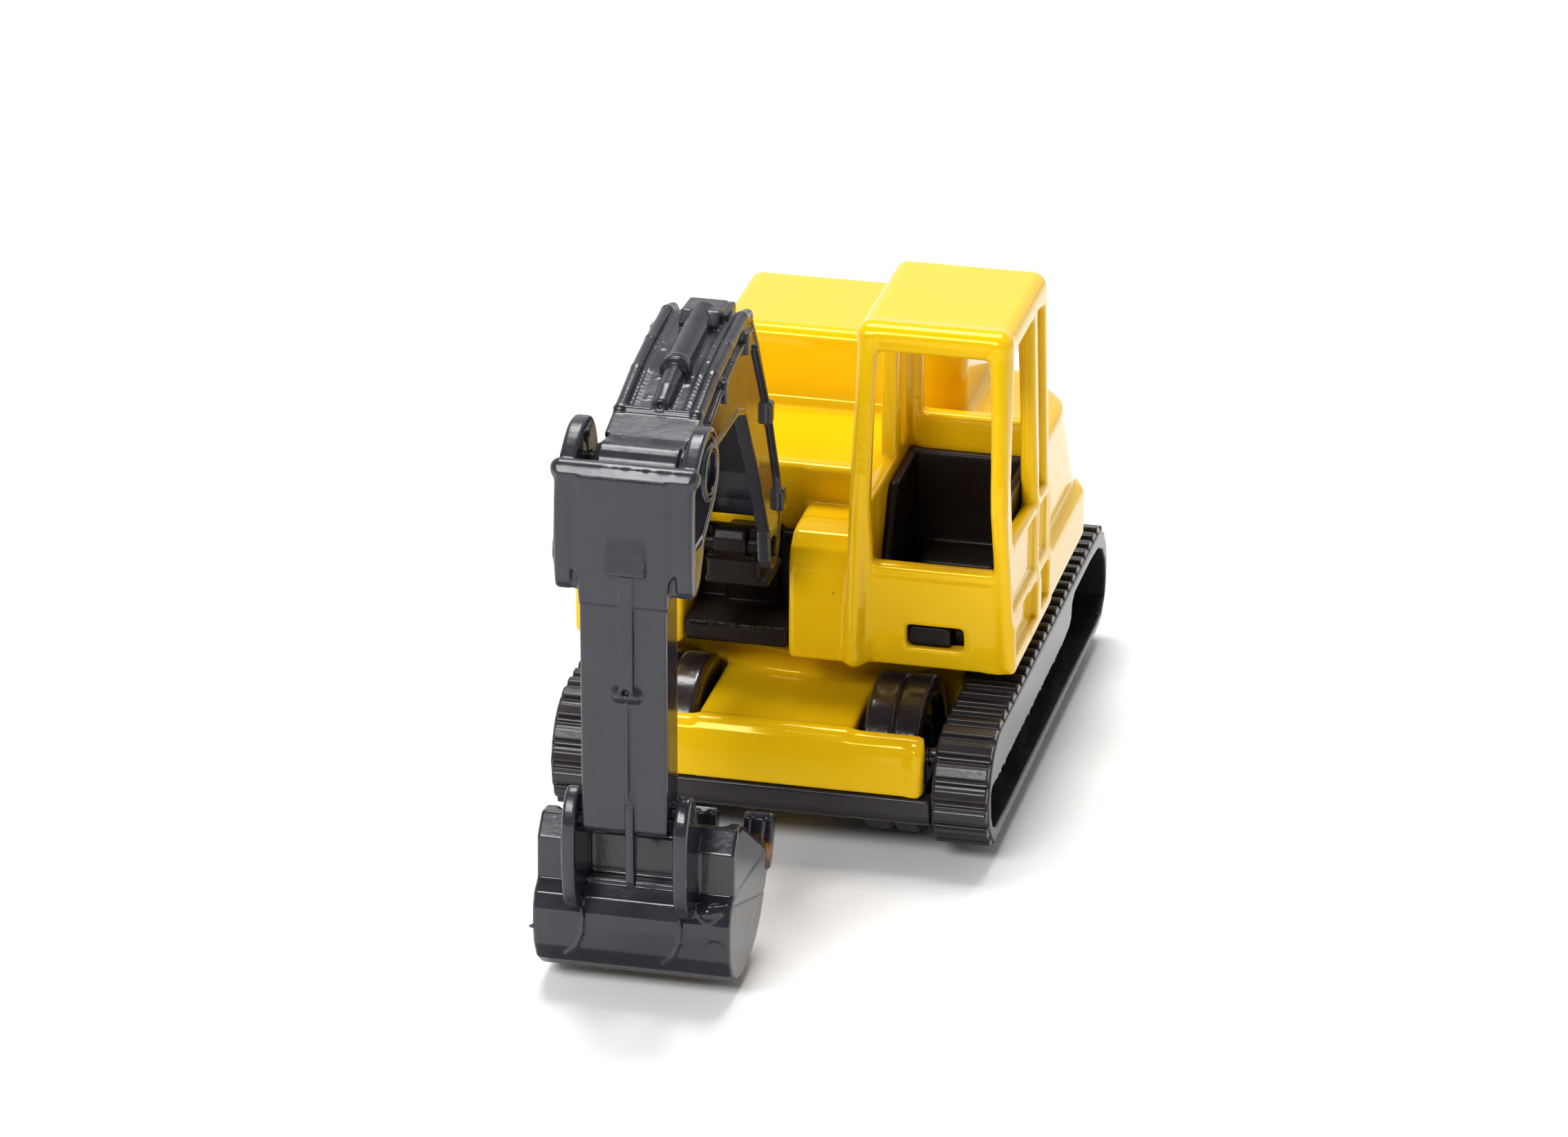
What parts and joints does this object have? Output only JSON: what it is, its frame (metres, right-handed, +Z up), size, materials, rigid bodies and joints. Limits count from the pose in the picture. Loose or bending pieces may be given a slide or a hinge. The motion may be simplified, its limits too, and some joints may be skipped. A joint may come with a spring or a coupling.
{
  "type": "toy excavator",
  "caption": "Pocket-size die-cast crawler excavator with a turning cab and hood house, folding boom, stick and bucket, and hidden rolling wheels between moulded tracks.",
  "frame": {"origin": "on the ground below the slew axis, midway between the tracks", "axes": "-Y to the front where the boom points, +X to the cab side, +Z up"},
  "size_m": [0.0284, 0.063, 0.0382],
  "materials": {
    "yellow_enamel": "thick glossy enamel over die-cast zinc",
    "black_plastic": "semi-gloss injection-moulded black plastic with light scuffs",
    "track_plastic": "satin black plastic",
    "wheel_plastic": "semi-gloss black plastic",
    "steel": "plain drawn steel wire and rivet"
  },
  "bodies": {
    "undercarriage": {"chassis_frame": "yellow_enamel", "base_plate": "black_plastic", "track_left": "track_plastic", "track_right": "track_plastic", "slew_rivet": "steel"},
    "front_wheelset": {"front_axle": "steel", "wheel_front_left": "wheel_plastic", "wheel_front_right": "wheel_plastic"},
    "rear_wheelset": {"rear_axle": "steel", "wheel_rear_left": "wheel_plastic", "wheel_rear_right": "wheel_plastic"},
    "house": {"house_body": "yellow_enamel", "deck_insert": "black_plastic", "slew_washer": "steel", "boom_pivot_pin": "steel"},
    "boom": {"boom": "black_plastic", "stick_pivot_pin": "steel"},
    "stick": {"stick": "black_plastic"},
    "bucket": {"bucket": "black_plastic", "bucket_pivot_pin": "steel"}
  },
  "joints": [
    {"name": "front_wheels_roll", "type": "hinge", "parent": "undercarriage", "child": "front_wheelset", "pos_m": [0, -0.0129, 0.005], "axis": [1, 0, 0], "continuous": true},
    {"name": "rear_wheels_roll", "type": "hinge", "parent": "undercarriage", "child": "rear_wheelset", "pos_m": [0, 0.0129, 0.005], "axis": [1, 0, 0], "continuous": true},
    {"name": "house_slew", "type": "hinge", "parent": "undercarriage", "child": "house", "pos_m": [0, 0, 0.0107], "axis": [0, 0, 1], "continuous": true},
    {"name": "boom_lift", "type": "hinge", "parent": "house", "child": "boom", "pos_m": [-0.00338, -0.015, 0.019], "axis": [-1, 0, 0], "range_deg": [0, 38]},
    {"name": "stick_swing", "type": "hinge", "parent": "boom", "child": "stick", "pos_m": [-0.00338, -0.03816, 0.03343], "axis": [1, 0, 0], "range_deg": [-45, 12]},
    {"name": "bucket_curl", "type": "hinge", "parent": "stick", "child": "bucket", "pos_m": [-0.00338, -0.04115, 0.01275], "axis": [1, 0, 0], "range_deg": [-28, 12]}
  ]
}
